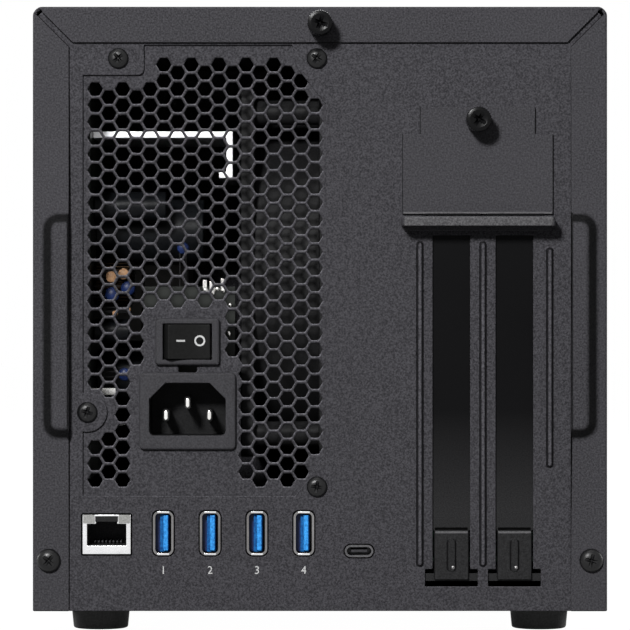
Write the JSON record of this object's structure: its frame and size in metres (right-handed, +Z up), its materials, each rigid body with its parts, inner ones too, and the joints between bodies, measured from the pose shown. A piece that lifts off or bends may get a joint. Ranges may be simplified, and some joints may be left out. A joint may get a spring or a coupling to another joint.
{
  "type": "external graphics card enclosure",
  "caption": "Dark steel desktop box that houses a graphics card beside a mains power supply, with a socket panel, covered card slots and a slide-off cover.",
  "frame": {"origin": "on the ground below the middle of the box", "axes": "+Z up, -Y to the rear socket panel, +X to the right as seen from behind"},
  "size_m": [0.185, 0.34, 0.202],
  "materials": {
    "powder_coat": "fine-grained satin powder coat",
    "dark_sheet": "smooth dark coat",
    "black_screw": "black oxide",
    "plain_screw": "plated",
    "black_plastic": "moulded",
    "rocker_plastic": "moulded",
    "fan_plastic": "moulded",
    "socket_metal": "tin plated",
    "pin_metal": "nickel plated",
    "blue_plastic": "moulded",
    "foot_rubber": "matt",
    "board_laminate": "solder mask",
    "bare_aluminium": "bare extrusion",
    "copper_winding": "dark lacquered wire",
    "winding_tape": "tape",
    "capacitor_sleeve": "shrunk sleeve"
  },
  "bodies": {
    "chassis": {"base_tray": "powder_coat", "rear_panel": "powder_coat", "front_panel": "powder_coat", "slot_hood": "powder_coat", "slot_retainer": "powder_coat", "psu_case": "powder_coat", "psu_lid": "powder_coat", "slot_cover_left": "dark_sheet", "slot_cover_right": "dark_sheet", "psu_screws": "black_screw", "case_fan_screws": "black_screw", "board_standoffs": "plain_screw", "power_switch_frame": "black_plastic", "mains_inlet": "black_plastic", "graphics_slot": "black_plastic", "network_socket_insert": "black_plastic", "small_data_socket_tongue": "black_plastic", "case_fan_frame": "fan_plastic", "psu_fan_frame": "fan_plastic", "network_socket_shell": "socket_metal", "small_data_socket_shell": "socket_metal", "data_socket_shell_1": "socket_metal", "data_socket_shell_2": "socket_metal", "data_socket_shell_3": "socket_metal", "data_socket_shell_4": "socket_metal", "mains_inlet_pins": "pin_metal", "data_socket_tongue_1": "blue_plastic", "data_socket_tongue_2": "blue_plastic", "data_socket_tongue_3": "blue_plastic", "data_socket_tongue_4": "blue_plastic", "feet": "foot_rubber", "main_board": "board_laminate", "psu_circuit_board": "board_laminate", "psu_filter_board": "board_laminate", "psu_heat_sink": "bare_aluminium", "psu_choke": "copper_winding", "psu_transformer": "winding_tape", "psu_capacitors": "capacitor_sleeve"},
    "cover": {"outer_cover": "powder_coat", "cover_screws": "black_screw"},
    "cover_thumbscrew": {"cover_thumbscrew": "black_screw"},
    "slot_thumbscrew": {"slot_thumbscrew": "black_screw"},
    "rocker": {"power_switch_rocker": "rocker_plastic"},
    "psu_fan": {"psu_fan_rotor": "fan_plastic"},
    "case_fan": {"case_fan_rotor": "fan_plastic"},
    "slot_latch": {"graphics_slot_latch": "fan_plastic"}
  },
  "joints": [
    {"name": "cover_slide", "type": "slide", "parent": "chassis", "child": "cover", "axis": [0, -1, 0], "range_m": [0, 0.335]},
    {"name": "cover_thumbscrew_turn", "type": "hinge", "parent": "cover", "child": "cover_thumbscrew", "pos_m": [0, -0.165, 0.19615], "axis": [0, -1, 0], "continuous": true},
    {"name": "slot_thumbscrew_turn", "type": "hinge", "parent": "chassis", "child": "slot_thumbscrew", "pos_m": [0.0508, -0.165, 0.1653], "axis": [0, -1, 0], "continuous": true},
    {"name": "rocker_tip", "type": "hinge", "parent": "chassis", "child": "rocker", "pos_m": [-0.0427, -0.1576, 0.0941], "axis": [0, 0, -1], "range_deg": [0, 20]},
    {"name": "psu_fan_spin", "type": "hinge", "parent": "chassis", "child": "psu_fan", "pos_m": [-0.008, -0.088, 0.1164], "axis": [-1, 0, 0], "continuous": true},
    {"name": "case_fan_spin", "type": "hinge", "parent": "chassis", "child": "case_fan", "pos_m": [0, 0.157, 0.1046], "axis": [0, -1, 0], "continuous": true},
    {"name": "slot_latch_tip", "type": "hinge", "parent": "chassis", "child": "slot_latch", "pos_m": [0.0334, -0.0164, 0.0292], "axis": [-1, 0, 0], "range_deg": [0, 40]}
  ]
}
